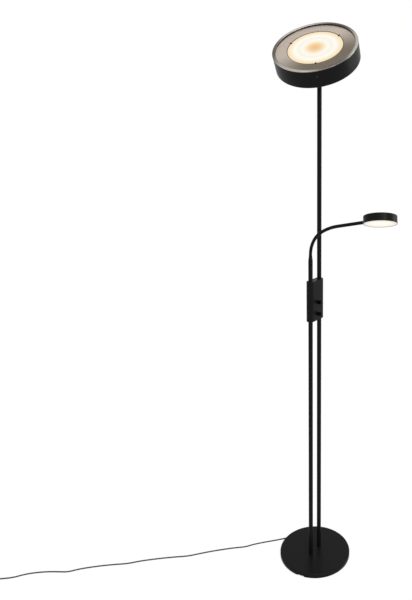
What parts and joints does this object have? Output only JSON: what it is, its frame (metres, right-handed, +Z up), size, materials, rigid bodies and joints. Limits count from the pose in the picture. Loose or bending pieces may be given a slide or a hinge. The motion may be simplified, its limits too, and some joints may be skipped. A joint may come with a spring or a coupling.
{
  "type": "torchiere floor lamp",
  "caption": "Floor lamp with a tilting round uplighter on a slim pole and a small reading light on a bending arm beside it, above a flat round base.",
  "frame": {"origin": "centre of the base on the floor", "axes": "+Z up, +X from the reading pole to the main pole, -Y the front with the knobs"},
  "size_m": [0.9888, 1.2333, 1.8593],
  "materials": {
    "black_paint": "fine satin black powder coat",
    "collar": "satin grey",
    "weight": "raw casting",
    "pad": "foam sheet",
    "fastener": "zinc plated",
    "friction_washer": "plain",
    "bright_trim": "polished nickel",
    "reflector": "brushed warm nickel",
    "opal": "opal, frosted",
    "board": "white solder mask",
    "bare_aluminium": "mill finish",
    "black_plastic": "fine grain",
    "driver_case": "plain",
    "cord": "matte jacket",
    "pins": "nickel plated"
  },
  "bodies": {
    "stand": {"base_cover": "black_paint", "base_weight": "weight", "base_pad": "pad", "base_studs": "fastener", "base_washers": "fastener", "base_nuts": "fastener", "cord_clamp": "black_plastic", "main_pole_lower": "black_paint", "reading_pole_lower": "black_paint", "main_pole_upper": "black_paint", "reading_stem": "black_paint", "control_housing": "black_paint", "housing_bottom_cap": "black_paint", "housing_top_cap": "black_paint", "housing_screws": "fastener", "housing_studs": "fastener", "housing_nuts": "fastener", "uplight_dimmer": "black_plastic", "reading_dimmer": "black_plastic", "pole_top_bush": "black_paint", "cord_lead": "cord", "cord_coil": "cord", "coil_tie": "black_plastic", "plug_body": "black_plastic", "plug_pins": "pins"},
    "uplight_swivel": {"swivel_fork": "black_paint", "swivel_ring": "fastener", "pivot_screw": "fastener", "pivot_nut": "fastener", "pivot_washers": "friction_washer"},
    "uplighter": {"tilt_bracket": "black_paint", "bracket_screws": "fastener", "uplight_shell": "black_paint", "trim_ring": "bright_trim", "side_screws": "fastener", "reflector_pan": "reflector", "light_spacers": "bare_aluminium", "heat_spreader": "bare_aluminium", "light_board": "board", "light_driver": "driver_case", "diffuser": "opal", "diffuser_clips": "black_paint"},
    "uplight_dial": {"uplight_knob": "black_plastic"},
    "reading_dial": {"reading_knob": "black_plastic"},
    "arm_1": {"gooseneck_link_1": "black_paint"},
    "arm_2": {"gooseneck_link_2": "black_paint"},
    "arm_3": {"gooseneck_link_3": "black_paint"},
    "arm_4": {"gooseneck_link_4": "black_paint"},
    "arm_5": {"gooseneck_link_5": "black_paint"},
    "arm_6": {"gooseneck_link_6": "black_paint"},
    "arm_7": {"gooseneck_link_7": "black_paint"},
    "arm_8": {"gooseneck_link_8": "black_paint", "reading_collar": "collar", "collar_nut": "fastener", "reading_shell": "black_paint", "reading_board": "board", "reading_diffuser": "opal"}
  },
  "joints": [
    {"name": "head_swivel", "type": "hinge", "parent": "stand", "child": "uplight_swivel", "pos_m": [0.0244, 0, 1.69], "axis": [0, 0, 1], "range_deg": [-165, 165]},
    {"name": "head_tilt", "type": "hinge", "parent": "uplight_swivel", "child": "uplighter", "pos_m": [0.0244, 0, 1.7103], "axis": [0.342, -0.9397, 0], "range_deg": [-38, 52]},
    {"name": "uplight_knob_turn", "type": "hinge", "parent": "stand", "child": "uplight_dial", "pos_m": [0, -0.021, 0.951], "axis": [0, -1, 0], "range_deg": [-140, 140]},
    {"name": "reading_knob_turn", "type": "hinge", "parent": "stand", "child": "reading_dial", "pos_m": [0, -0.021, 0.9105], "axis": [0, -1, 0], "range_deg": [-140, 140]},
    {"name": "gooseneck_bend_1", "type": "hinge", "parent": "stand", "child": "arm_1", "pos_m": [-0.0244, 0, 1.116], "axis": [1, 0, 0], "range_deg": [-15, 15]},
    {"name": "gooseneck_sway_1", "type": "hinge", "parent": "arm_1", "child": "arm_2", "pos_m": [-0.0244, -0.00548, 1.14813], "axis": [0, 0.9435, 0.3313], "range_deg": [-12, 12]},
    {"name": "gooseneck_bend_2", "type": "hinge", "parent": "arm_2", "child": "arm_3", "pos_m": [-0.0244, -0.02129, 1.17663], "axis": [1, 0, 0], "range_deg": [-15, 15]},
    {"name": "gooseneck_sway_2", "type": "hinge", "parent": "arm_3", "child": "arm_4", "pos_m": [-0.0244, -0.04566, 1.19828], "axis": [0, 0.5292, 0.8485], "range_deg": [-12, 12]},
    {"name": "gooseneck_bend_3", "type": "hinge", "parent": "arm_4", "child": "arm_5", "pos_m": [-0.0244, -0.07471, 1.21333], "axis": [1, 0, 0], "range_deg": [-15, 15]},
    {"name": "gooseneck_sway_3", "type": "hinge", "parent": "arm_5", "child": "arm_6", "pos_m": [-0.0244, -0.10578, 1.22356], "axis": [0, 0.236, 0.9718], "range_deg": [-12, 12]},
    {"name": "gooseneck_bend_4", "type": "hinge", "parent": "arm_6", "child": "arm_7", "pos_m": [-0.0244, -0.13761, 1.23129], "axis": [1, 0, 0], "range_deg": [-15, 15]},
    {"name": "gooseneck_sway_4", "type": "hinge", "parent": "arm_7", "child": "arm_8", "pos_m": [-0.0244, -0.16943, 1.23901], "axis": [0, 0.236, 0.9718], "range_deg": [-12, 12]}
  ],
  "couplings": [
    {"joint": "gooseneck_bend_2", "follows": "gooseneck_bend_1", "ratio": 1},
    {"joint": "gooseneck_sway_2", "follows": "gooseneck_sway_1", "ratio": 1},
    {"joint": "gooseneck_bend_3", "follows": "gooseneck_bend_1", "ratio": 1},
    {"joint": "gooseneck_sway_3", "follows": "gooseneck_sway_1", "ratio": 1},
    {"joint": "gooseneck_bend_4", "follows": "gooseneck_bend_1", "ratio": 1},
    {"joint": "gooseneck_sway_4", "follows": "gooseneck_sway_1", "ratio": 1}
  ]
}
